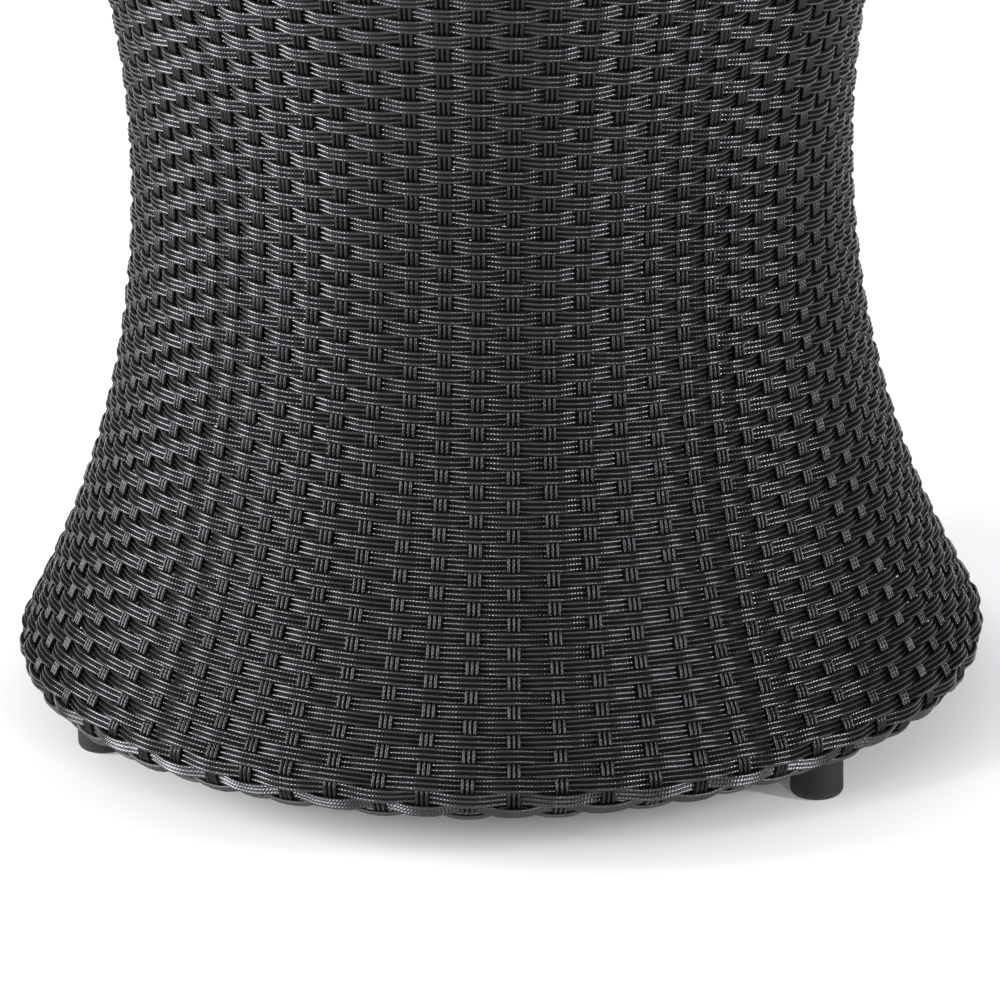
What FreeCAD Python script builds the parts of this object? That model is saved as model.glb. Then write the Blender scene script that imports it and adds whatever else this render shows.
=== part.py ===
import FreeCAD, Part

import math
import os

import Sketcher

# An hourglass side table: a woven wall rolled round a tube ring at its foot and
# another at its head, three bent legs inside it, and a loose glass top on pads.
# Lengths are millimetres. +Z is up, the floor is z = 0, the front is -Y.

DRIVING_SIZES = {
    # Outer face of the woven wall: one circular sweep, narrowest at the waist.
    "waist_radius": 159.5,
    "sweep_radius": 437,
    # Height of the two tube rings above and below the waist, and the clear
    # height that the lower ring keeps above the feet.
    "ring_rise": 220,
    "ring_clearance": 6,
    # Woven cloth: a stake with the weft passing before and behind it.
    "strand_thickness": 1.7,
    "strand_layers": 3,
    "wrap_gap": 0.3,
    "border_tuck": 4.6,
    # Frame stock.
    "ring_tube": 16,
    "tube_wall": 1.2,
    "vent_bore": 5,
    "hoop_bar": 6,
    "hoop_rise": 110,
    "leg_tube": 19,
    "leg_bend": 40,
    "weld_gap": 0.2,
    # Feet, pushed over the leg ends.
    "foot_floor": 6,
    "foot_height": 22,
    "foot_wall": 2,
    "foot_fit": 0.15,
    "foot_round": 3,
    # Flat arms and the plate that joins them.
    "arm_thickness": 4,
    "hub_diameter": 80,
    "hub_thickness": 4,
    "hub_round": 1,
    # Pads under the glass, set in from its rim.
    "pad_inset": 60,
    "pad_head": 14,
    "pad_round": 1.5,
    "pad_stem": 5,
    "stem_fit": 0.1,
    # Glass top.
    "glass_diameter": 420,
    "glass_thickness": 5,
    "glass_round": 2,
    "glass_over_border": 1.1,
    "glass_seat": 0.2,
}

# Each leg has a foot, an arm and a pad. The legs stand evenly round the table,
# anticlockwise from the one at the back, whose angle is measured from +X.
LEG_NAMES = ("back", "left", "right")
BACK_ANGLE = 90

# Rows of weft between the two rolled edges, and the share of a row that lies flat.
WEFT_ROWS = 72
FLAT_SHARE = 0.6

# The two rolled edges: -1 is below the waist, +1 above it.
LOWER, UPPER = -1, 1

# Names for the numbers that sketch constraints use.
ORIGIN, X_AXIS = -1, -1
START, END, CENTRE = 1, 2, 3

# Sizes that follow from the driving ones, as expressions on the sheet.
WALL = "(sizes.strand_thickness * sizes.strand_layers)"
LIP = f"(sizes.ring_tube / 2 + sizes.wrap_gap + {WALL})"
BASE_RING = "(sizes.foot_height + sizes.ring_clearance + sizes.ring_tube / 2)"
WAIST_HEIGHT = f"({BASE_RING} + sizes.ring_rise)"
SWEEP_CENTRE = "(sizes.waist_radius + sizes.sweep_radius)"
RING_RADIUS = f"({SWEEP_CENTRE} - sqrt((sizes.sweep_radius + {LIP})^2 - sizes.ring_rise^2))"
SPREAD = f"asin(sizes.ring_rise / (sizes.sweep_radius + {LIP}))"
HOOP_DEPTH = f"({WALL} + sizes.wrap_gap + sizes.hoop_bar / 2)"
LEG_DEPTH = f"({HOOP_DEPTH} + sizes.hoop_bar / 2 + sizes.weld_gap + sizes.leg_tube / 2)"
LEG_CIRCLE = f"({RING_RADIUS} - sizes.ring_tube / 2 - sizes.weld_gap - sizes.leg_tube / 2)"
ARM_TOP = f"({WAIST_HEIGHT} + sizes.ring_rise + sizes.ring_tube / 2)"
LEG_TOP = f"({ARM_TOP} - sizes.arm_thickness)"
PAD_CIRCLE = "(sizes.glass_diameter / 2 - sizes.pad_inset)"
PAD_HEIGHT = f"({WALL} + sizes.wrap_gap + sizes.glass_over_border - sizes.glass_seat)"
GLASS_BOTTOM = f"({ARM_TOP} + {PAD_HEIGHT} + sizes.glass_seat)"

doc = FreeCAD.newDocument("hourglass_table")
sheet = doc.addObject("Spreadsheet::Sheet", "sizes")
for row, (alias, number) in enumerate(DRIVING_SIZES.items(), start=1):
    sheet.set(f"A{row}", alias)
    sheet.set(f"B{row}", str(number))
    sheet.setAlias(f"B{row}", alias)
doc.recompute()


def measure(expression):
    """The number that an expression on the sheet comes to."""
    return float(sheet.evalExpression(expression))


def new_body(label):
    body = doc.addObject("PartDesign::Body", label)
    body.Label = label
    return body


def new_sketch(body, name, role):
    """An empty sketch on one of the body's own origin planes."""
    sketch = body.newObject("Sketcher::SketchObject", name)
    origin_plane = next(item for item in body.Origin.OriginFeatures if item.Role == role)
    sketch.AttachmentSupport = [(origin_plane, "")]
    sketch.MapMode = "FlatFace"
    return sketch


def add_line(sketch, start, end):
    return sketch.addGeometry(Part.LineSegment(start, end))


def add_arc(sketch, centre, radius, start_angle, end_angle):
    circle = Part.Circle(centre, FreeCAD.Vector(0, 0, 1), radius)
    return sketch.addGeometry(Part.ArcOfCircle(circle, start_angle, end_angle))


def add_circle(sketch, diameter, centre_x="0"):
    """A circle on the sketch's X axis, bound to expressions on the sheet."""
    centre = FreeCAD.Vector(measure(centre_x), 0, 0)
    circle = Part.Circle(centre, FreeCAD.Vector(0, 0, 1), measure(diameter) / 2)
    index = sketch.addGeometry(circle)
    bind(sketch, diameter, "Diameter", index)
    if centre_x == "0":
        sketch.addConstraint(Sketcher.Constraint("Coincident", index, CENTRE, ORIGIN, START))
    else:
        bind(sketch, centre_x, "DistanceX", ORIGIN, START, index, CENTRE)
        sketch.addConstraint(Sketcher.Constraint("PointOnObject", index, CENTRE, X_AXIS))


def bind(sketch, expression, kind, *where):
    """Add a dimension to a sketch and tie it to an expression on the sheet."""
    index = sketch.addConstraint(Sketcher.Constraint(kind, *where, measure(expression)))
    sketch.setExpression(f"Constraints[{index}]", expression)


def pin(sketch, geometry, point, across, up):
    """Tie a point of a sketch to two expressions, measured from the sketch's origin."""
    bind(sketch, across, "DistanceX", ORIGIN, START, geometry, point)
    bind(sketch, up, "DistanceY", ORIGIN, START, geometry, point)


def mark(sketch, across, up):
    """A construction point, for lines of the section to aim at."""
    place = FreeCAD.Vector(measure(across), measure(up), 0)
    index = sketch.addGeometry(Part.Point(place), True)
    pin(sketch, index, START, across, up)
    return index


def close_band(sketch, outer, inner, first_line, last_line):
    """Join two arcs round one centre and two end lines into a closed band."""
    join = [
        ("Coincident", first_line, START, inner, START),
        ("Coincident", first_line, END, outer, START),
        ("Coincident", last_line, START, inner, END),
        ("Coincident", last_line, END, outer, END),
        ("Coincident", outer, CENTRE, inner, CENTRE),
    ]
    for constraint in join:
        sketch.addConstraint(Sketcher.Constraint(*constraint))


def on_line(sketch, geometry, point, line):
    sketch.addConstraint(Sketcher.Constraint("PointOnObject", geometry, point, line))


def from_centre(centre, radius, angle):
    return centre + FreeCAD.Vector(radius * math.cos(angle), radius * math.sin(angle), 0)


def revolve(body, sketch):
    turn = body.newObject("PartDesign::Revolution", "turn")
    turn.Profile = sketch
    turn.ReferenceAxis = (sketch, ["V_Axis"])
    turn.Angle = 360
    return turn


def pad(body, sketch, length):
    block = body.newObject("PartDesign::Pad", "block")
    block.Profile = sketch
    block.setExpression("Length", length)
    doc.recompute()
    return block


def level_edges(feature, height):
    """Names of the round edges of a feature that lie at one height."""
    names = []
    for index, edge in enumerate(feature.Shape.Edges, start=1):
        box = edge.BoundBox
        if abs(box.ZMin - height) < 1e-6 and abs(box.ZMax - height) < 1e-6:
            names.append(f"Edge{index}")
    return names


def round_edges(body, feature, edges, radius):
    soften = body.newObject("PartDesign::Fillet", "soften")
    soften.Base = (feature, edges)
    soften.setExpression("Radius", radius)
    doc.recompute()


def stand(item, angle=0, across="0", up="0"):
    """Turn an object about the table's axis, then set its distance out and its height."""
    turned = FreeCAD.Rotation(FreeCAD.Vector(0, 0, 1), angle)
    item.Placement = FreeCAD.Placement(FreeCAD.Vector(0, 0, 0), turned)
    item.setExpression("Placement.Base.x", f"{across} * cos({angle})")
    item.setExpression("Placement.Base.y", f"{across} * sin({angle})")
    item.setExpression("Placement.Base.z", up)


class RowedWall:
    """The hourglass between the rolled edges: a section with a flat ridge per row, revolved."""

    SIZES = {
        "SweepCentre": SWEEP_CENTRE,
        "WaistHeight": WAIST_HEIGHT,
        "Spread": SPREAD,
        "RowFace": "sizes.sweep_radius",
        "RowValley": "sizes.sweep_radius + sizes.strand_thickness / 2",
        "InnerFace": f"sizes.sweep_radius + {WALL}",
    }

    def __init__(self, item):
        for name, expression in self.SIZES.items():
            item.addProperty("App::PropertyFloat", name)
            item.setExpression(name, expression)
        item.Proxy = self

    def corner(self, item, share, radius):
        """A point at a share of the way round the sweep, from the waist to the upper seam."""
        angle = math.radians(share * item.Spread)
        across = item.SweepCentre - radius * math.cos(angle)
        return FreeCAD.Vector(across, 0, item.WaistHeight + radius * math.sin(angle))

    def execute(self, item):
        bottom, waist, top = (self.corner(item, share, item.InnerFace) for share in (-1, 0, 1))
        corners = [top, self.corner(item, 1, item.RowValley)]
        half_row = 1 / WEFT_ROWS
        for row in range(WEFT_ROWS):
            middle = 1 - (2 * row + 1) * half_row
            corners.append(self.corner(item, middle + FLAT_SHARE * half_row, item.RowFace))
            corners.append(self.corner(item, middle - FLAT_SHARE * half_row, item.RowFace))
            corners.append(self.corner(item, middle - half_row, item.RowValley))
        corners.append(bottom)
        inner_face = Part.Arc(bottom, waist, top).toShape()
        section = Part.Face(Part.Wire(Part.makePolygon(corners).Edges + [inner_face]))
        item.Shape = section.revolve(FreeCAD.Vector(0, 0, 0), FreeCAD.Vector(0, 0, 1), 360)


def woven_wall():
    wall = doc.addObject("Part::FeaturePython", "woven_wall")
    RowedWall(wall)
    return wall


def ring_height(side):
    return f"({WAIST_HEIGHT} + {side} * sizes.ring_rise)"


def rolled_border(label, side):
    """A rolled edge of the weave: a hook-shaped band round a tube ring."""
    body = new_body(label)
    sketch = new_sketch(body, "border_section", "XZ_Plane")
    centre = FreeCAD.Vector(measure(RING_RADIUS), measure(ring_height(side)), 0)
    outer_radius = measure(LIP)
    inner_radius = outer_radius - measure(WALL)
    seam = -side * math.radians(measure(SPREAD))
    tuck = side * (math.pi / 2 + math.asin(measure(f"sizes.border_tuck / {LIP}")))
    first, last = min(seam, tuck), max(seam, tuck)

    outer = add_arc(sketch, centre, outer_radius, first, last)
    inner = add_arc(sketch, centre, inner_radius, first, last)
    ends = {}
    for angle in (first, last):
        near = from_centre(centre, inner_radius, angle)
        far = from_centre(centre, outer_radius, angle)
        ends[angle] = add_line(sketch, near, far)
    close_band(sketch, outer, inner, ends[first], ends[last])
    pin(sketch, outer, CENTRE, RING_RADIUS, ring_height(side))
    bind(sketch, LIP, "Radius", outer)
    bind(sketch, f"{LIP} - {WALL}", "Radius", inner)
    # The seam lies square to the sweep, where the wall ends.
    sweep_centre = mark(sketch, SWEEP_CENTRE, WAIST_HEIGHT)
    on_line(sketch, outer, CENTRE, ends[seam])
    on_line(sketch, sweep_centre, START, ends[seam])
    # The strand ends are tucked in past the middle of the ring.
    on_line(sketch, outer, CENTRE, ends[tuck])
    bind(sketch, f"{RING_RADIUS} - sizes.border_tuck", "DistanceX", ORIGIN, START, ends[tuck], END)
    revolve(body, sketch)
    return body


def torus(name, radius, bar, height):
    ring = doc.addObject("Part::Torus", name)
    ring.setExpression("Radius1", radius)
    ring.setExpression("Radius2", f"{bar} / 2")
    ring.setExpression("Placement.Base.z", height)
    return ring


def cut(name, base, tool):
    result = doc.addObject("Part::Cut", name)
    result.Base = base
    result.Tool = tool
    return result


def tube_ring(label, side):
    """A bent tube closed to a ring, with a vent hole at its inner side."""
    height = ring_height(side)
    bar = torus(f"{label}_bar", RING_RADIUS, "sizes.ring_tube", height)
    bore = torus(f"{label}_bore", RING_RADIUS, "(sizes.ring_tube - 2 * sizes.tube_wall)", height)
    vent = doc.addObject("Part::Cylinder", f"{label}_vent")
    vent.setExpression("Radius", "sizes.vent_bore / 2")
    vent.setExpression("Height", "sizes.ring_tube")
    vent.Placement = FreeCAD.Placement(
        FreeCAD.Vector(0, 0, 0), FreeCAD.Rotation(FreeCAD.Vector(0, 1, 0), -90))
    vent.setExpression("Placement.Base.x", RING_RADIUS)
    vent.setExpression("Placement.Base.z", height)
    return cut(label, cut(f"{label}_tube", bar, bore), vent)


def hoop(label, rise):
    """A round bar that lies inside the wall and is welded to the outside of the legs."""
    radius = f"{SWEEP_CENTRE} - sqrt((sizes.sweep_radius + {HOOP_DEPTH})^2 - ({rise})^2)"
    return torus(label, radius, "sizes.hoop_bar", f"{WAIST_HEIGHT} + {rise}")


def leg(label, angle):
    """A bent tube: upright at foot and head, and following the sweep of the wall between."""
    body = new_body(label)
    path = new_sketch(body, "leg_path", "XZ_Plane")
    sweep = f"(sizes.sweep_radius + {LEG_DEPTH})"
    centre = FreeCAD.Vector(measure(SWEEP_CENTRE), measure(WAIST_HEIGHT), 0)
    radius, bend = measure(sweep), measure("sizes.leg_bend")
    upright = measure(LEG_CIRCLE)
    lean = math.acos((centre.x - upright + bend) / (radius + bend))
    bend_rise = (radius + bend) * math.sin(lean)
    foot_bend = FreeCAD.Vector(upright - bend, centre.y - bend_rise, 0)
    head_bend = FreeCAD.Vector(upright - bend, centre.y + bend_rise, 0)
    foot_end = FreeCAD.Vector(upright, measure("sizes.foot_floor"), 0)
    head_end = FreeCAD.Vector(upright, measure(LEG_TOP), 0)

    lower = add_line(path, foot_end, from_centre(foot_bend, bend, 0))
    foot_arc = add_arc(path, foot_bend, bend, 0, lean)
    long_arc = add_arc(path, centre, radius, math.pi - lean, math.pi + lean)
    head_arc = add_arc(path, head_bend, bend, -lean, 0)
    upper = add_line(path, from_centre(head_bend, bend, 0), head_end)
    smooth = [
        (lower, END, foot_arc, START),
        (foot_arc, END, long_arc, END),
        (long_arc, START, head_arc, START),
        (head_arc, END, upper, START),
    ]
    for joint in smooth:
        path.addConstraint(Sketcher.Constraint("Tangent", *joint))
    pin(path, long_arc, CENTRE, SWEEP_CENTRE, WAIST_HEIGHT)
    bind(path, sweep, "Radius", long_arc)
    for arc in (foot_arc, head_arc):
        bind(path, "sizes.leg_bend", "Radius", arc)
    for line in (lower, upper):
        path.addConstraint(Sketcher.Constraint("Vertical", line))
    pin(path, lower, START, LEG_CIRCLE, "sizes.foot_floor")
    pin(path, upper, END, LEG_CIRCLE, LEG_TOP)

    section = new_sketch(body, "leg_section", "XY_Plane")
    section.setExpression("AttachmentOffset.Base.z", "sizes.foot_floor")
    add_circle(section, "sizes.leg_tube", LEG_CIRCLE)
    add_circle(section, "sizes.leg_tube - 2 * sizes.tube_wall", LEG_CIRCLE)
    doc.recompute()
    tube = body.newObject("PartDesign::AdditivePipe", "tube")
    tube.Profile = section
    tube.Spine = path
    stand(body, angle)
    return body


def foot(label, angle):
    """A plastic cap over the end of a leg, with a rounded sole."""
    body = new_body(label)
    bore = "(sizes.leg_tube + 2 * sizes.foot_fit)"
    outline = new_sketch(body, "foot_outline", "XY_Plane")
    add_circle(outline, f"{bore} + 2 * sizes.foot_wall")
    block = pad(body, outline, "sizes.foot_height")
    socket = new_sketch(body, "foot_socket", "XY_Plane")
    socket.setExpression("AttachmentOffset.Base.z", "sizes.foot_height")
    add_circle(socket, bore)
    pocket = body.newObject("PartDesign::Pocket", "socket")
    pocket.Profile = socket
    pocket.setExpression("Length", "sizes.foot_height - sizes.foot_floor")
    doc.recompute()
    if pocket.Shape.Volume >= block.Shape.Volume:
        raise RuntimeError(f"{label}: the socket cuts nothing")
    round_edges(body, pocket, level_edges(pocket, 0), "sizes.foot_round")
    stand(body, angle, LEG_CIRCLE)
    return body


def arm(label, angle):
    """A flat bar with round ends, from the hub plate to the head of a leg."""
    body = new_body(label)
    sketch = new_sketch(body, "arm_outline", "XY_Plane")
    half = measure("sizes.leg_tube / 2")
    inner_centre = FreeCAD.Vector(measure("sizes.leg_tube"), 0, 0)
    outer_centre = FreeCAD.Vector(measure(LEG_CIRCLE), 0, 0)
    side_step = FreeCAD.Vector(0, half, 0)
    inner = add_arc(sketch, inner_centre, half, math.pi / 2, 3 * math.pi / 2)
    outer = add_arc(sketch, outer_centre, half, -math.pi / 2, math.pi / 2)
    left = add_line(sketch, outer_centre + side_step, inner_centre + side_step)
    right = add_line(sketch, inner_centre - side_step, outer_centre - side_step)
    smooth = [
        (left, END, inner, START),
        (inner, END, right, START),
        (right, END, outer, START),
        (outer, END, left, START),
    ]
    for joint in smooth:
        sketch.addConstraint(Sketcher.Constraint("Tangent", *joint))
    for arc, reach in ((inner, "sizes.leg_tube"), (outer, LEG_CIRCLE)):
        on_line(sketch, arc, CENTRE, X_AXIS)
        bind(sketch, reach, "DistanceX", ORIGIN, START, arc, CENTRE)
        bind(sketch, "sizes.leg_tube / 2", "Radius", arc)
    add_circle(sketch, "sizes.pad_stem + 2 * sizes.stem_fit", PAD_CIRCLE)
    pad(body, sketch, "sizes.arm_thickness")
    stand(body, angle, up=LEG_TOP)
    return body


def hub_plate():
    """The round plate under the inner ends of the arms."""
    body = new_body("hub_plate")
    sketch = new_sketch(body, "hub_outline", "XY_Plane")
    add_circle(sketch, "sizes.hub_diameter")
    block = pad(body, sketch, "sizes.hub_thickness")
    round_edges(body, block, level_edges(block, 0), "sizes.hub_round")
    stand(body, up=f"{LEG_TOP} - sizes.hub_thickness")
    return body


def glass_pad(label, angle):
    """A clear button for the glass to lie on, with a stem pushed into an arm."""
    body = new_body(label)
    stem_outline = new_sketch(body, "stem_outline", "XY_Plane")
    add_circle(stem_outline, "sizes.pad_stem")
    pad(body, stem_outline, "sizes.arm_thickness")
    head_outline = new_sketch(body, "head_outline", "XY_Plane")
    head_outline.setExpression("AttachmentOffset.Base.z", "sizes.arm_thickness")
    add_circle(head_outline, "sizes.pad_head")
    head = pad(body, head_outline, PAD_HEIGHT)
    top = measure(f"sizes.arm_thickness + {PAD_HEIGHT}")
    round_edges(body, head, level_edges(head, top), "sizes.pad_round")
    stand(body, angle, PAD_CIRCLE, LEG_TOP)
    return body


def glass_top():
    """A round pane with a polished, rounded edge."""
    body = new_body("glass_top")
    sketch = new_sketch(body, "glass_outline", "XY_Plane")
    add_circle(sketch, "sizes.glass_diameter")
    block = pad(body, sketch, "sizes.glass_thickness")
    rims = level_edges(block, 0) + level_edges(block, measure("sizes.glass_thickness"))
    round_edges(body, block, rims, "sizes.glass_round")
    stand(body, up=GLASS_BOTTOM)
    return body


nodes = [
    woven_wall(),
    rolled_border("base_border", LOWER),
    rolled_border("top_border", UPPER),
    tube_ring("base_ring", LOWER),
    tube_ring("top_ring", UPPER),
    hoop("lower_hoop", "-sizes.hoop_rise"),
    hoop("waist_hoop", "0"),
    hoop("upper_hoop", "sizes.hoop_rise"),
    hub_plate(),
    glass_top(),
]
for index, name in enumerate(LEG_NAMES):
    leg_angle = BACK_ANGLE + index * 360 / len(LEG_NAMES)
    nodes.append(leg(f"leg_{name}", leg_angle))
    nodes.append(foot(f"foot_{name}", leg_angle))
    nodes.append(arm(f"arm_{name}", leg_angle))
    nodes.append(glass_pad(f"pad_{name}", leg_angle))
doc.recompute()

for item in doc.Objects:
    if "Invalid" in item.State or "Error" in item.State:
        raise RuntimeError(f"{item.Label} failed to build: {item.State}")
for node in nodes:
    if node.Shape.isNull() or not node.Shape.isValid():
        raise RuntimeError(f"{node.Label} has no valid shape")

os.makedirs("parts", exist_ok=True)
for node in nodes:
    node.Shape.exportStep(f"parts/{node.Label}.step")
    print(f"{node.Label}: {node.Shape.Volume / 1000:.1f} cm3")
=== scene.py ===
# %% [markdown]
# # An hourglass side table, woven of black resin strand
#
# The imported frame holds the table's tubes, hoops, feet, arms, pads and glass as
# finished shapes. What it leaves plain is the weave: there the wall is a shell
# with one flat ridge for each row. This lesson puts a real over-one, under-one
# weave in its place and gives every surface a procedural finish. It opens by
# loading the frame.

# %% Load the frame
import math

import bpy
import numpy as np
from mathutils import Matrix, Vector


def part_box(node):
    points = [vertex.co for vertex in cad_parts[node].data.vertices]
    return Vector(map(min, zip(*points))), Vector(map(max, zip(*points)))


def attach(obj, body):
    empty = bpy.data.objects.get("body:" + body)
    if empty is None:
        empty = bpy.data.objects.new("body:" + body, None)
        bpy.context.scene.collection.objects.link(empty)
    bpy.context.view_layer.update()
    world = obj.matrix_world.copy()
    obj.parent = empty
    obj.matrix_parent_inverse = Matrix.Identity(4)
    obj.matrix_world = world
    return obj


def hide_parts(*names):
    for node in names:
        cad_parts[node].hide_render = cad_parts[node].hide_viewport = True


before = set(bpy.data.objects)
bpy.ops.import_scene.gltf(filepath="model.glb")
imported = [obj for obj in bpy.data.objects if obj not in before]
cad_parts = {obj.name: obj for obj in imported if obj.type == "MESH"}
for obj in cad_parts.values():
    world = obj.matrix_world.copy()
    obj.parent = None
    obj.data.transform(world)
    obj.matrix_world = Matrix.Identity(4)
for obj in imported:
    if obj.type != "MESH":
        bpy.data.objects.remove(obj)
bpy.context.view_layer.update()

MM = 0.001
print("nodes in the frame:", len(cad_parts))

# %% [markdown]
# ## The table's outline, read back from the frame
#
# The weave has to lie in the shell it replaces, so no size is typed twice. The
# rings, the waist hoop and the rolled border give the radii, and the sweep of the
# wall is the circle that touches the waist and both rolled edges.

# %% Outline of the woven wall
STRAND_THICKNESS = 1.7 * MM
STRAND_LAYERS = 3
HOOP_CLEARANCE = 0.3 * MM

ring_low, ring_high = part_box("base_ring")
hoop_low, hoop_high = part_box("waist_hoop")
border_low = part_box("base_border")[0]

ring_bar = (ring_high.z - ring_low.z) / 2
ring_height = (ring_high.z + ring_low.z) / 2
ring_radius = ring_high.x - ring_bar
waist_height = (hoop_low.z + hoop_high.z) / 2
ring_rise = waist_height - ring_height
shell = STRAND_THICKNESS * STRAND_LAYERS
waist_radius = hoop_high.x + HOOP_CLEARANCE + shell
lip_radius = ring_height - border_low.z
narrowing = waist_radius - ring_radius
sweep_radius = (
    (lip_radius**2 - narrowing**2 - ring_rise**2) / (2 * (narrowing - lip_radius)))
spread = math.asin(ring_rise / (sweep_radius + lip_radius))
print(f"waist radius {waist_radius:.4f}, sweep radius {sweep_radius:.4f}, lip {lip_radius:.4f}")

# %% [markdown]
# ## One line to measure along
#
# A weaver counts rows along the wall, not straight up. The middle of the weave is
# one smooth line: the long sweep in the centre, and at each end a short arc that
# rolls over the tube ring. The helper turns a length along that line, measured
# from the waist, into a radius, a height and the direction that faces outwards.

# %% Middle line of the weave
TUCK_ANGLE = math.radians(110)
middle_sweep = sweep_radius + shell / 2
middle_lip = lip_radius - shell / 2
wall_reach = middle_sweep * spread
lip_reach = middle_lip * (TUCK_ANGLE + spread)
weave_reach = wall_reach + lip_reach


def middle_line(reach):
    """Radius, height and outward direction at lengths along the wall from the waist."""
    side = np.sign(reach)
    beyond = np.abs(reach) - wall_reach
    rolled = beyond > 0
    swing = reach / middle_sweep
    turn = beyond / middle_lip - spread
    radius = np.where(
        rolled,
        ring_radius + middle_lip * np.cos(turn),
        waist_radius + sweep_radius - middle_sweep * np.cos(swing),
    )
    height = np.where(
        rolled,
        waist_height + side * (ring_rise + middle_lip * np.sin(turn)),
        waist_height + middle_sweep * np.sin(swing),
    )
    out = np.where(rolled, np.cos(turn), np.cos(swing))
    up = np.where(rolled, side * np.sin(turn), -np.sin(swing))
    return radius, height, out, up


def on_wall(angle, reach, lift):
    """Points and outward directions on the wall, lifted off its middle line."""
    radius, height, out, up = middle_line(reach)
    across = radius + lift * out
    points = np.stack(
        (across * np.cos(angle), across * np.sin(angle), height + lift * up), axis=1)
    outward = np.stack((out * np.cos(angle), out * np.sin(angle), up), axis=1)
    return points, outward


print(f"the weave is {2 * weave_reach:.3f} m from tuck to tuck")

# %% [markdown]
# ## The camera
#
# The camera comes before the pieces, so that every trial render can be laid over
# the photograph. It stands well back with a long lens, looks down at the waist
# from a little right of the front, and is turned slightly about its own axis.

# %% Camera
SENSOR_WIDTH = 36.0
FOCAL_SHARE = 7.1426
CAMERA_DISTANCE = 3.013
CAMERA_OVER_WAIST = 0.9145
CAMERA_TURN = math.radians(13)
CAMERA_PITCH = math.radians(19.68)
CAMERA_ROLL = math.radians(-1.175)
CAMERA_SHIFT = 0.0012

camera_data = bpy.data.cameras.new("camera")
camera_data.sensor_width = SENSOR_WIDTH
camera_data.lens = SENSOR_WIDTH * FOCAL_SHARE
camera_data.shift_x = CAMERA_SHIFT
camera = bpy.data.objects.new("camera", camera_data)
bpy.context.scene.collection.objects.link(camera)
aim = (
    Matrix.Rotation(CAMERA_TURN, 4, "Z")
    @ Matrix.Translation((0, -CAMERA_DISTANCE, waist_height + CAMERA_OVER_WAIST))
    @ Matrix.Rotation(math.pi / 2 - CAMERA_PITCH, 4, "X")
    @ Matrix.Rotation(CAMERA_ROLL, 4, "Z")
)
camera.matrix_world = aim
bpy.context.scene.camera = camera
print("camera at", tuple(round(value, 3) for value in camera.location))

# %% [markdown]
# ## Counting the weave
#
# The upright strands are the stakes and the strands wound round them are the
# weft. Sixty-seven stakes stand round the wall. An odd count lets a weft strand
# change from over to under each time it comes round, so the weave never has to
# be broken. Five weft strands start side by side, and their rows fall gently to
# the right, as the photograph shows. Hand work is never even, so the stakes stray
# a little from their places, and neighbours stray partly together; the draws are
# seeded and come out the same each run.

# %% Places of the stakes
STAKES = 67
WEFT_STARTS = 5
ROW_PITCH = 6.23 * MM
FIRST_ROW = 248.3 * MM
FIRST_STAKE = math.radians(-74.04)
STAKE_LEAN = 0.147
STAKE_STRAY = 0.10
STRAY_KEPT = 0.5

chance = np.random.default_rng(67)
stray = chance.normal(0, STAKE_STRAY, STAKES)
beside = np.roll(stray, 1) + np.roll(stray, -1)
stray = STRAY_KEPT * stray + (1 - STRAY_KEPT) / 2 * beside
stake_turns = (np.arange(STAKES) + stray - stray[0]) / STAKES
stake_marks = np.append(stake_turns, stake_turns[0] + 1)


def stakes_passed(turns):
    """How many stakes a strand has passed after so many turns round the wall."""
    whole = np.floor(turns)
    return STAKES * whole + np.interp(turns - whole, stake_marks, np.arange(STAKES + 1))


rows = 2 * weave_reach / ROW_PITCH
print(f"{STAKES} stakes, about {rows:.0f} rows")

# %% [markdown]
# ## The strand's own section
#
# Each strand is flat and carries three round ribs. A section with a crest, two
# slopes and a valley per rib is the least that shades as round when smoothed;
# the hidden back needs only a few points. The list runs once round the strand,
# first across the ribbed face and then back along the flat one.

# %% Section of a strand
STRAND_WIDTH = 6.75 * MM
RIB_HEIGHT = 1.05 * MM
RIBS = 3
STEPS_PER_RIB = 4
RIB_DEPTH = 1.35 * MM
BACK_POINTS = 3
BACK_EDGES = (0.88, 0.12)


def strand_section():
    """Across and upward places of the points round one strand."""
    face_steps = RIBS * STEPS_PER_RIB
    share = np.arange(face_steps + 1) / face_steps
    crest = np.abs(np.sin(np.pi * RIBS * share))
    face_up = RIB_HEIGHT - RIB_DEPTH * (1 - crest)
    face_up[[0, -1]] = 0
    back_share = np.linspace(*BACK_EDGES, BACK_POINTS)
    back_up = np.full(BACK_POINTS, -RIB_HEIGHT)
    across = (np.concatenate((share, back_share)) - 0.5) * STRAND_WIDTH
    return across, np.concatenate((face_up, back_up))


section_across, section_up = strand_section()
SECTION_POINTS = len(section_across)
print("points round a strand:", SECTION_POINTS)

# %% [markdown]
# ## Winding a strand
#
# By hand one would model a single crossing and array it along a curve, but the
# wall narrows, so the crossings change size all the way and an array would drift
# off the stakes. Instead a flat grid, which is the strand before it is woven, is
# wound along its path: one direction of the grid runs along the path, the other
# runs round the section. The two long edges then meet and are merged, the ends
# are filled, and the grid's own UV map is stretched to real lengths, so that the
# finish can follow the strand.

# %% Helper that winds a strand
MERGE_DISTANCE = 0.001 * MM
SMOOTH_LIMIT = math.radians(85)


def unit(vectors):
    return vectors / np.linalg.norm(vectors, axis=1, keepdims=True)


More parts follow.
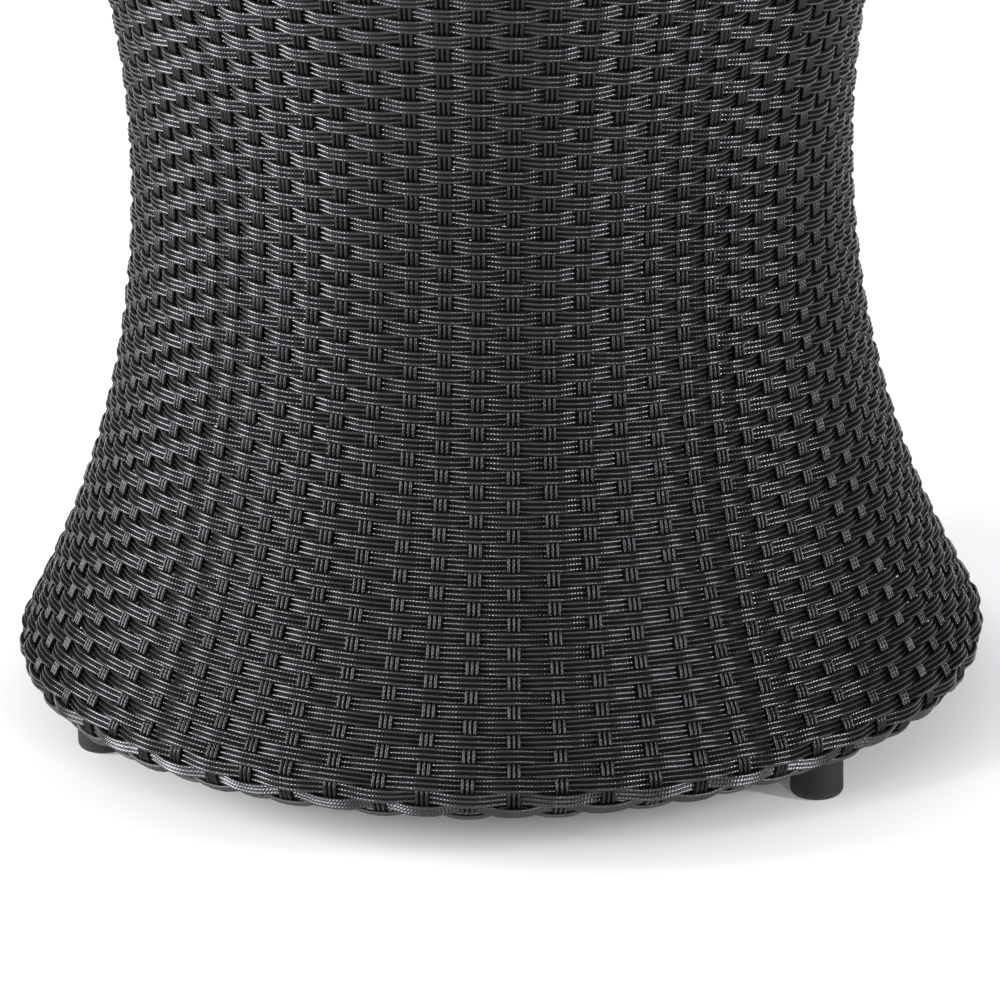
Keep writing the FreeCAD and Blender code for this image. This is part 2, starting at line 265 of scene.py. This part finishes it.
def wind_strand(name, points, outward, lean, width_share=1.0):
    """Wind a flat grid into a ribbed strand along points on the wall."""
    along = unit(np.gradient(points, axis=0))
    side = unit(np.cross(outward, along))
    face = np.cross(along, side)
    tilt_cos, tilt_sin = np.cos(lean)[:, None], np.sin(lean)[:, None]
    side, face = side * tilt_cos + face * tilt_sin, face * tilt_cos - side * tilt_sin
    steps = len(points) - 1

    bpy.ops.object.select_all(action="DESELECT")
    bpy.ops.mesh.primitive_grid_add(
        x_subdivisions=steps, y_subdivisions=SECTION_POINTS, size=2)
    strand = bpy.context.object
    strand.name = strand.data.name = name
    mesh = strand.data
    flat = np.empty(3 * len(mesh.vertices))
    mesh.vertices.foreach_get("co", flat)
    flat = flat.reshape(-1, 3)
    step = np.rint((flat[:, 0] + 1) / 2 * steps).astype(int)
    corner = np.rint((flat[:, 1] + 1) / 2 * SECTION_POINTS).astype(int) % SECTION_POINTS
    wound = (
        points[step]
        + width_share * section_across[corner][:, None] * side[step]
        + section_up[corner][:, None] * face[step]
    )
    mesh.vertices.foreach_set("co", wound.ravel())

    lengths = np.linalg.norm(np.diff(points, axis=0), axis=1)
    travelled = np.concatenate(([0], np.cumsum(lengths)))
    layer = mesh.uv_layers.active.data
    uv = np.empty(2 * len(layer))
    layer.foreach_get("uv", uv)
    uv = uv.reshape(-1, 2)
    uv[:, 0] = np.interp(uv[:, 0], np.linspace(0, 1, steps + 1), travelled)
    layer.foreach_set("uv", uv.ravel())

    bpy.ops.object.mode_set(mode="EDIT")
    bpy.ops.mesh.select_all(action="SELECT")
    bpy.ops.mesh.remove_doubles(threshold=MERGE_DISTANCE)
    bpy.ops.mesh.fill_holes(sides=SECTION_POINTS)
    bpy.ops.mesh.select_all(action="SELECT")
    bpy.ops.mesh.normals_make_consistent(inside=False)
    bpy.ops.object.mode_set(mode="OBJECT")
    bpy.ops.object.shade_smooth_by_angle(angle=SMOOTH_LIMIT)
    return strand


# %% [markdown]
# ## The weft
#
# Where a weft strand crosses a stake it stands proud of it, and at the next stake
# it dives behind. A plain cosine is too soft for that: the strand lies flatter
# over the stake and turns down more sharply beside it, which a second, faster
# wave gives. Each float also leans a degree or two, so that no two catch the
# light alike. Every strand starts at the upper tuck, at its own place round the
# table, so the upper edge is covered all the way round.

# %% Weft strands
WEFT_LIFT = 1.45 * MM
STAKE_LIFT = 0.3 * MM
FLAT_TOP = 0.08
STEPS_PER_CROSSING = 5
FLOAT_LEAN = math.radians(2.2)
LIFT_SPREAD = 0.05
ROW_STRAY = 0.10 * MM


def weave_wave(count):
    """+1 where a strand is in front, -1 where it is behind, by whole counts."""
    return (np.cos(np.pi * count) - FLAT_TOP * np.cos(3 * np.pi * count)) / (1 - FLAT_TOP)


def per_crossing(count, spread_of_draw):
    """A seeded draw at each crossing, joined smoothly between crossings."""
    last = int(np.ceil(count.max())) + 2
    draws = chance.normal(0, spread_of_draw, last)
    return np.interp(count, np.arange(last), draws)


weft = []
for start in range(WEFT_STARTS):
    first = FIRST_ROW - start * ROW_PITCH
    drop = WEFT_STARTS * ROW_PITCH
    top_turn, last_turn = (first - weave_reach) / drop, (first + weave_reach) / drop
    crossings = (last_turn - top_turn) * STAKES
    turns = np.linspace(top_turn, last_turn, int(crossings * STEPS_PER_CROSSING))
    passed = stakes_passed(turns)
    reach = first - drop * turns + per_crossing(passed, ROW_STRAY)
    lift = WEFT_LIFT * weave_wave(passed + start) * (1 + per_crossing(passed, LIFT_SPREAD))
    angle = FIRST_STAKE + 2 * math.pi * turns + STAKE_LEAN * reach
    points, outward = on_wall(angle, reach, lift)
    lean = per_crossing(passed, FLOAT_LEAN)
    weft.append(wind_strand(f"weft_{start + 1}", points, outward, lean))
print("weft strands:", len(weft), "faces each:", len(weft[0].data.polygons))

# %% [markdown]
# ## The stakes
#
# A stake runs from tuck to tuck and gives way a little at every crossing, towards
# the inside where the weft passes over it. The stakes are wound one by one and
# then joined in three groups, which keeps each piece to a manageable size.

# %% Stakes
STEPS_PER_ROW = 3
STAKE_SHARE = 0.92
STAKE_GROUPS = ("left", "right", "back")


def wind_stake(index):
    turn = stake_turns[index]
    reach = np.linspace(-weave_reach, weave_reach, int(rows * STEPS_PER_ROW))
    row = (FIRST_ROW - reach) / ROW_PITCH - WEFT_STARTS * turn
    lift = -STAKE_LIFT * weave_wave(row + index)
    angle = FIRST_STAKE + 2 * math.pi * turn + STAKE_LEAN * reach
    points, outward = on_wall(angle, reach, lift)
    upright = np.zeros_like(reach)
    return wind_strand(f"stake_{index + 1}", points, outward, upright, STAKE_SHARE)


def join(pieces, name):
    bpy.ops.object.select_all(action="DESELECT")
    for piece in pieces:
        piece.select_set(True)
    bpy.context.view_layer.objects.active = pieces[0]
    bpy.ops.object.join()
    pieces[0].name = pieces[0].data.name = name
    return pieces[0]


stakes = []
shares = np.array_split(np.arange(STAKES), len(STAKE_GROUPS))
for group, indices in zip(STAKE_GROUPS, shares):
    stakes.append(join([wind_stake(index) for index in indices], f"stakes_{group}"))
print("stake groups:", [len(piece.data.polygons) for piece in stakes])

# %% [markdown]
# ## Helpers for the finishes
#
# Every finish is a small network of nodes. A few short helpers keep the cells
# readable: the first adds a node, sets its options and feeds its inputs, and the
# others do sums, blend colours, stretch a range, and start groups and materials.

# %% Node helpers


def node(tree, kind, feeds=(), **options):
    """Add a node; each feed is an input, by name or place, and a value or a socket."""
    made = tree.nodes.new(kind)
    for option, value in options.items():
        setattr(made, option, value)
    for place, value in feeds:
        if isinstance(value, bpy.types.NodeSocket):
            tree.links.new(value, made.inputs[place])
        else:
            made.inputs[place].default_value = value
    return made


def sums(tree, operation, *values):
    """One arithmetic node, and its result."""
    made = node(tree, "ShaderNodeMath", enumerate(values), operation=operation)
    return made.outputs[0]


def blend_colours(tree, share, first, second):
    made = node(tree, "ShaderNodeMix", data_type="RGBA")
    fed = ((made.inputs[0], share), (made.inputs[6], first), (made.inputs[7], second))
    for socket, value in fed:
        if isinstance(value, bpy.types.NodeSocket):
            tree.links.new(value, socket)
        else:
            socket.default_value = value
    return made.outputs[2]


def remap(tree, value, low, high, new_low, new_high):
    feeds = (("Value", value), ("From Min", low), ("From Max", high),
             ("To Min", new_low), ("To Max", new_high))
    return node(tree, "ShaderNodeMapRange", feeds).outputs["Result"]


def new_group(name, inputs, outputs):
    group = bpy.data.node_groups.new(name, "ShaderNodeTree")
    for label, value in inputs.items():
        socket = group.interface.new_socket(label, in_out="INPUT", socket_type="NodeSocketFloat")
        socket.default_value = value
    for label in outputs:
        group.interface.new_socket(label, in_out="OUTPUT", socket_type="NodeSocketFloat")
    entry = node(group, "NodeGroupInput")
    leave = node(group, "NodeGroupOutput")
    return group, entry, leave


def place_group(tree, group, **values):
    feeds = [(label.replace("_", " ").capitalize(), value) for label, value in values.items()]
    made = node(tree, "ShaderNodeGroup", node_tree=group)
    for label, value in feeds:
        made.inputs[label].default_value = value
    return made


def new_material(name):
    material = bpy.data.materials.new(name)
    material.use_nodes = True
    tree = material.node_tree
    return material, tree, tree.nodes["Principled BSDF"]


print("node helpers ready")

# %% [markdown]
# ## Node group: the lay of the ribs
#
# Seen close, each rib is a thin twisted cord, and its plies show as a row of
# slanting dashes. The strand's UV map runs in metres along the strand and in ribs
# across it, so a sine along the strand, pushed on as it crosses the rib, draws
# the plies wherever the strand goes. The group also gives a mask for the creases
# between the ribs, where the finish paints shade and makes the resin duller.

# %% Group for twisted ribs
RIB_LAY = 1.55 * MM
RIB_SLANT = -1.9
CREASE_EDGES = (0.28, 0.5)


def twisted_ribs():
    group, entry, leave = new_group(
        "twisted ribs", {"Lay": RIB_LAY, "Slant": RIB_SLANT}, ("Height", "Crease"))
    place = node(group, "ShaderNodeTexCoord").outputs["UV"]
    split = node(group, "ShaderNodeSeparateXYZ", [(0, place)])
    ribs_crossed = sums(group, "MULTIPLY", split.outputs["Y"], SECTION_POINTS / STEPS_PER_RIB)
    across = sums(group, "FRACT", ribs_crossed)
    plies = sums(group, "DIVIDE", split.outputs["X"], entry.outputs["Lay"])
    slanted = sums(group, "MULTIPLY_ADD", across, entry.outputs["Slant"], plies)
    phase = sums(group, "MULTIPLY", sums(group, "FRACT", slanted), 2 * math.pi)
    wave = sums(group, "SINE", phase)
    height = remap(group, wave, -1, 1, 0, 1)
    off_crest = sums(group, "ABSOLUTE", sums(group, "SUBTRACT", across, 0.5))
    crease = node(group, "ShaderNodeMapRange", (
        ("Value", off_crest), ("From Min", CREASE_EDGES[0]), ("From Max", CREASE_EDGES[1])),
        interpolation_type="SMOOTHSTEP")
    group.links.new(height, leave.inputs["Height"])
    group.links.new(crease.outputs["Result"], leave.inputs["Crease"])
    return group


RIB_GROUP = twisted_ribs()
print("group:", RIB_GROUP.name)

# %% [markdown]
# ## Node group: uneven surface
#
# Nothing made of plastic or paint is one flat tone. A broad cloud of noise shifts
# the shade from one hand's breadth to the next and a fine grain roughens it. The
# group puts out both, and each finish decides what they change.

# %% Group for uneven surfaces
NOISE_RANGE = (0.3, 0.7)


def uneven_surface():
    group, entry, leave = new_group(
        "uneven surface", {"Cloud scale": 18.0, "Grain scale": 900.0}, ("Cloud", "Grain"))
    place = node(group, "ShaderNodeTexCoord").outputs["Object"]
    cloud = node(group, "ShaderNodeTexNoise", (
        ("Vector", place), ("Scale", entry.outputs["Cloud scale"]), ("Detail", 4.0)))
    grain = node(group, "ShaderNodeTexNoise", (
        ("Vector", place), ("Scale", entry.outputs["Grain scale"]), ("Detail", 2.0)))
    group.links.new(remap(group, cloud.outputs[0], *NOISE_RANGE, 0, 1), leave.inputs["Cloud"])
    group.links.new(remap(group, grain.outputs[0], *NOISE_RANGE, 0, 1), leave.inputs["Grain"])
    return group


UNEVEN_GROUP = uneven_surface()
print("group:", UNEVEN_GROUP.name)

# %% [markdown]
# ## The strand's finish
#
# The strand is extruded resin, near black, with a satin face. The plies are too
# fine to model, a few hundred thousand of them, so they are a shallow bump
# with duller gaps between them, which breaks the highlights into dashes. The
# creases between the ribs get painted shade, a darker colour, and are duller
# because dust settles there; the rows nearest the floor are duller from splashes.

# %% Strand material
CHARCOAL = (0.0026, 0.0027, 0.0030, 1)
WORN_CHARCOAL = (0.0048, 0.0049, 0.0054, 1)
# Painted shade: the darker colour laid into the creases between the ribs.
CREASE_PAINTED_SHADE = (0.0010, 0.0009, 0.0009, 1)
COOL_SHEEN = (0.92, 0.95, 1.0, 1)
CREASE_DULL = 0.2
GRAIN_DULL = 0.07
PLY_GAP_TOP = 0.6
PLY_BUMP = 0.05 * MM
SPLASH_DULL = 0.25
SPLASH_HEIGHTS = (18 * MM, 36 * MM)


def strand_finish(name, rough, shine, gap_dull):
    material, tree, shader = new_material(name)
    ribs = place_group(tree, RIB_GROUP, lay=RIB_LAY, slant=RIB_SLANT)
    uneven = place_group(tree, UNEVEN_GROUP, cloud_scale=22.0, grain_scale=1400.0)
    resin = blend_colours(tree, uneven.outputs["Cloud"], CHARCOAL, WORN_CHARCOAL)
    # Painted shade: the crease mask darkens the resin between the ribs.
    crease_shaded = blend_colours(tree, ribs.outputs["Crease"], resin, CREASE_PAINTED_SHADE)
    grained = remap(tree, uneven.outputs["Grain"], 0, 1, rough, rough + GRAIN_DULL)
    gap = remap(tree, ribs.outputs["Height"], 0, PLY_GAP_TOP, gap_dull, 0)
    dull = sums(tree, "ADD", grained, gap)
    dull = sums(tree, "MULTIPLY_ADD", ribs.outputs["Crease"], CREASE_DULL, dull)
    place = node(tree, "ShaderNodeTexCoord").outputs["Object"]
    height = node(tree, "ShaderNodeSeparateXYZ", [(0, place)]).outputs["Z"]
    splashed = remap(tree, height, *SPLASH_HEIGHTS, SPLASH_DULL, 0)
    dull = sums(tree, "ADD", dull, splashed)
    bump = node(tree, "ShaderNodeBump", (
        ("Height", ribs.outputs["Height"]), ("Strength", 1.0), ("Distance", PLY_BUMP)))
    tree.links.new(crease_shaded, shader.inputs["Base Color"])
    tree.links.new(dull, shader.inputs["Roughness"])
    tree.links.new(bump.outputs["Normal"], shader.inputs["Normal"])
    shader.inputs["Specular IOR Level"].default_value = shine
    shader.inputs["Specular Tint"].default_value = COOL_SHEEN
    return material


weft_finish = strand_finish("weft strand", rough=0.11, shine=0.57, gap_dull=0.155)
stake_finish = strand_finish("stake strand", rough=0.16, shine=0.28, gap_dull=0.08)
for piece in weft:
    piece.data.materials.append(weft_finish)
for piece in stakes:
    piece.data.materials.append(stake_finish)
print("strand finishes:", weft_finish.name, "and", stake_finish.name)

# %% [markdown]
# ## Powder coat on the frame
#
# The tubes, hoops, arms and hub are steel under black powder coat. Its mark is a
# fine, soft ripple, so the bump is broad and shallow and the gloss shifts with it.

# %% Frame material
COAT_BLACK = (0.014, 0.014, 0.015, 1)
COAT_GREY = (0.026, 0.026, 0.027, 1)
COAT_ROUGH = (0.38, 0.52)
COAT_BUMP = 0.35
COAT_RIPPLE = 0.1 * MM


def powder_coat():
    material, tree, shader = new_material("powder coat")
    uneven = place_group(tree, UNEVEN_GROUP, cloud_scale=30.0, grain_scale=650.0)
    colour = blend_colours(tree, uneven.outputs["Cloud"], COAT_BLACK, COAT_GREY)
    rough = remap(tree, uneven.outputs["Grain"], 0, 1, *COAT_ROUGH)
    bump = node(tree, "ShaderNodeBump", (
        ("Height", uneven.outputs["Grain"]), ("Strength", COAT_BUMP), ("Distance", COAT_RIPPLE)))
    tree.links.new(colour, shader.inputs["Base Color"])
    tree.links.new(rough, shader.inputs["Roughness"])
    tree.links.new(bump.outputs["Normal"], shader.inputs["Normal"])
    return material


def dress(names, material):
    """Give CAD nodes a finish without touching their shapes."""
    for name in names:
        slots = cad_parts[name].data.materials
        slots.clear()
        slots.append(material)


def three(stem):
    return [f"{stem}_{place}" for place in ("left", "right", "back")]


frame_nodes = ["base_ring", "top_ring", "lower_hoop", "waist_hoop", "upper_hoop", "hub_plate"]
frame_nodes += three("leg") + three("arm")
dress(frame_nodes, powder_coat())
print("coated:", len(frame_nodes))

# %% [markdown]
# ## Feet
#
# The feet are moulded caps, matt, and a dark brown grey rather than black. Their
# soles are scuffed where they stand, so the lowest millimetres are paler.

# %% Foot material
FOOT_GREY = (0.0055, 0.0045, 0.0045, 1)
FOOT_CLOUD = (0.0095, 0.0076, 0.0076, 1)
FOOT_SCUFF = (0.055, 0.049, 0.044, 1)
FOOT_SHINE = 0.25
FOOT_ROUGH = (0.5, 0.7)
FOOT_BUMP = 0.5
FOOT_GRAIN = 0.08 * MM
SCUFF_HEIGHT = 4 * MM


def moulded_foot():
    material, tree, shader = new_material("moulded foot")
    uneven = place_group(tree, UNEVEN_GROUP, cloud_scale=60.0, grain_scale=1100.0)
    place = node(tree, "ShaderNodeTexCoord").outputs["Object"]
    height = node(tree, "ShaderNodeSeparateXYZ", [(0, place)]).outputs["Z"]
    low = remap(tree, height, 0, SCUFF_HEIGHT, 1, 0)
    scuffed = sums(tree, "MULTIPLY", low, uneven.outputs["Grain"])
    base = blend_colours(tree, uneven.outputs["Cloud"], FOOT_GREY, FOOT_CLOUD)
    colour = blend_colours(tree, scuffed, base, FOOT_SCUFF)
    rough = remap(tree, uneven.outputs["Grain"], 0, 1, *FOOT_ROUGH)
    bump = node(tree, "ShaderNodeBump", (
        ("Height", uneven.outputs["Grain"]), ("Strength", FOOT_BUMP), ("Distance", FOOT_GRAIN)))
    tree.links.new(colour, shader.inputs["Base Color"])
    tree.links.new(rough, shader.inputs["Roughness"])
    tree.links.new(bump.outputs["Normal"], shader.inputs["Normal"])
    shader.inputs["Specular IOR Level"].default_value = FOOT_SHINE
    return material


dress(three("foot"), moulded_foot())
print("feet dressed")

# %% [markdown]
# ## Glass and its pads
#
# The top is a clear pane whose rim looks green, because there the eye looks
# through more glass. Real panes are never spotless, so the polish varies faintly.
# The pads under it are clear soft plastic, a little cloudy.

# %% Glass and pad materials
GLASS_CLEAR = (0.965, 0.985, 0.978, 1)
GLASS_RIM = (0.62, 0.86, 0.78, 1)
PAD_CLEAR = (0.86, 0.87, 0.86, 1)
PAD_CLOUD = (0.74, 0.75, 0.74, 1)
GLASS_IOR = 1.5
PAD_IOR = 1.46
GLASS_ROUGH = (0.0, 0.035)
PAD_ROUGH = (0.18, 0.34)
PAD_CLARITY = 0.85
RIM_BAND = 4 * MM

glass_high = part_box("glass_top")[1]


def clear_glass():
    material, tree, shader = new_material("clear glass")
    uneven = place_group(tree, UNEVEN_GROUP, cloud_scale=9.0, grain_scale=300.0)
    place = node(tree, "ShaderNodeTexCoord").outputs["Object"]
    flat = node(tree, "ShaderNodeVectorMath", [(0, place), (1, (1, 1, 0))], operation="MULTIPLY")
    out = node(tree, "ShaderNodeVectorMath", [(0, flat.outputs[0])], operation="LENGTH")
    rim = remap(tree, out.outputs["Value"], glass_high.x - RIM_BAND, glass_high.x, 0, 1)
    colour = blend_colours(tree, rim, GLASS_CLEAR, GLASS_RIM)
    rough = remap(tree, uneven.outputs["Cloud"], 0, 1, *GLASS_ROUGH)
    tree.links.new(colour, shader.inputs["Base Color"])
    tree.links.new(rough, shader.inputs["Roughness"])
    shader.inputs["Transmission Weight"].default_value = 1.0
    shader.inputs["IOR"].default_value = GLASS_IOR
    return material


def clear_pad():
    material, tree, shader = new_material("clear pad")
    uneven = place_group(tree, UNEVEN_GROUP, cloud_scale=120.0, grain_scale=900.0)
    colour = blend_colours(tree, uneven.outputs["Cloud"], PAD_CLEAR, PAD_CLOUD)
    rough = remap(tree, uneven.outputs["Grain"], 0, 1, *PAD_ROUGH)
    tree.links.new(colour, shader.inputs["Base Color"])
    tree.links.new(rough, shader.inputs["Roughness"])
    shader.inputs["Transmission Weight"].default_value = PAD_CLARITY
    shader.inputs["IOR"].default_value = PAD_IOR
    return material


dress(["glass_top"], clear_glass())
dress(three("pad"), clear_pad())
print("glass and pads dressed")

# %% [markdown]
# ## Which body each piece rides on
#
# Only the glass lifts off. The whole weave belongs to the table, and stands in
# for the plain wall and its two rolled borders.

# %% Ride and replace
for piece in weft + stakes:
    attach(piece, "table")
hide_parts("woven_wall", "base_border", "top_border")
print("riding on the table:", len(weft) + len(stakes))

# %% [markdown]
# ## Floor and background
#
# The photograph has a white ground and hardly a shadow. The floor is a wide pale
# disc: lamps light it like any surface, and rays from the eye, a mirror or glass
# see extra brightness, which lifts it to white. The lamps light a spot in front of
# the table most, so the extra grows with the distance from that spot. Under the
# table it fades out and the shadow stays.

# %% Floor
FLOOR_RADIUS = 40.0
FLOOR_SIDES = 96
FLOOR_ROUGH = 0.9
FLOOR_PALE = (0.66, 0.66, 0.66, 1)
GLOW = 0.82
LIT_SPOT = (0, -1.1, 0)
SHADE_EDGES = (0.15, 0.26)
DIM_EDGES = (0.25, 1.75)

bpy.ops.object.select_all(action="DESELECT")
bpy.ops.mesh.primitive_circle_add(vertices=FLOOR_SIDES, radius=FLOOR_RADIUS, fill_type="NGON")
floor = bpy.context.object
floor.name = floor.data.name = "studio_floor"
floor_finish, tree, shader = new_material("studio floor")
shader.inputs["Base Color"].default_value = FLOOR_PALE
shader.inputs["Roughness"].default_value = FLOOR_ROUGH
shader.inputs["Specular IOR Level"].default_value = 0.0
shader.inputs["Emission Color"].default_value = (1, 1, 1, 1)
path = node(tree, "ShaderNodeLightPath")
seen = sums(tree, "MAXIMUM", path.outputs["Is Camera Ray"], path.outputs["Is Glossy Ray"])
seen = sums(tree, "MAXIMUM", seen, path.outputs["Is Transmission Ray"])
place = node(tree, "ShaderNodeTexCoord").outputs["Object"]
axis_length = node(tree, "ShaderNodeVectorMath", [(0, place)], operation="LENGTH")
spot_length = node(
    tree, "ShaderNodeVectorMath", [(0, place), (1, LIT_SPOT)], operation="DISTANCE")
clear_of_table = remap(tree, axis_length.outputs["Value"], *SHADE_EDGES, 0, 1)
dim = remap(tree, spot_length.outputs["Value"], *DIM_EDGES, 0, GLOW)
glow = sums(tree, "MULTIPLY", seen, sums(tree, "MULTIPLY", clear_of_table, dim))
tree.links.new(glow, shader.inputs["Emission Strength"])
floor.data.materials.append(floor_finish)
print("floor radius", FLOOR_RADIUS)

# %% [markdown]
# ## Lamps and world
#
# In the photograph the highlights stand in columns on the wall. A column lies where
# the floats face halfway between the eye and a lamp, so each upright soft box was
# turned until its columns stood about where the photograph has them: a strong one
# and a weak one on each side. A broad box high in front rounds the ribs, and the
# world only lifts the darkest places.

# %% Lamps and world
TABLE_MIDDLE = 0.25
SKY = (0.9, 0.92, 0.95, 1)
SKY_STRENGTH = 0.12


def soft_box(name, turn, lift, distance, width, height, watts):
    """A rectangular lamp that faces the table, placed by its angles from the front."""
    lamp = bpy.data.lights.new(name, "AREA")
    lamp.shape = "RECTANGLE"
    lamp.size, lamp.size_y = width, height
    lamp.energy = watts
    box = bpy.data.objects.new(name, lamp)
    bpy.context.scene.collection.objects.link(box)
    box.matrix_world = (
        Matrix.Translation((0, 0, TABLE_MIDDLE))
        @ Matrix.Rotation(math.radians(turn), 4, "Z")
        @ Matrix.Rotation(math.radians(90 - lift), 4, "X")
        @ Matrix.Translation((0, 0, distance))
    )
    box.visible_camera = False
    return box


soft_box("right_box", turn=72, lift=8, distance=2.0, width=0.25, height=1.0, watts=42)
soft_box("inner_right_box", turn=31, lift=10, distance=2.0, width=0.2, height=0.9, watts=16)
soft_box("left_box", turn=-70, lift=8, distance=1.9, width=0.8, height=0.95, watts=58)
soft_box("inner_left_box", turn=-30, lift=8, distance=2.0, width=0.2, height=0.9, watts=33)
soft_box("high_box", turn=-6, lift=33, distance=2.2, width=2.0, height=0.8, watts=16)

world = bpy.data.worlds.new("studio")
world.use_nodes = True
background = world.node_tree.nodes["Background"]
background.inputs["Color"].default_value = SKY
background.inputs["Strength"].default_value = SKY_STRENGTH
bpy.context.scene.world = world
bpy.context.scene.view_settings.view_transform = "Standard"
print("lamps: two right, two left and one high")
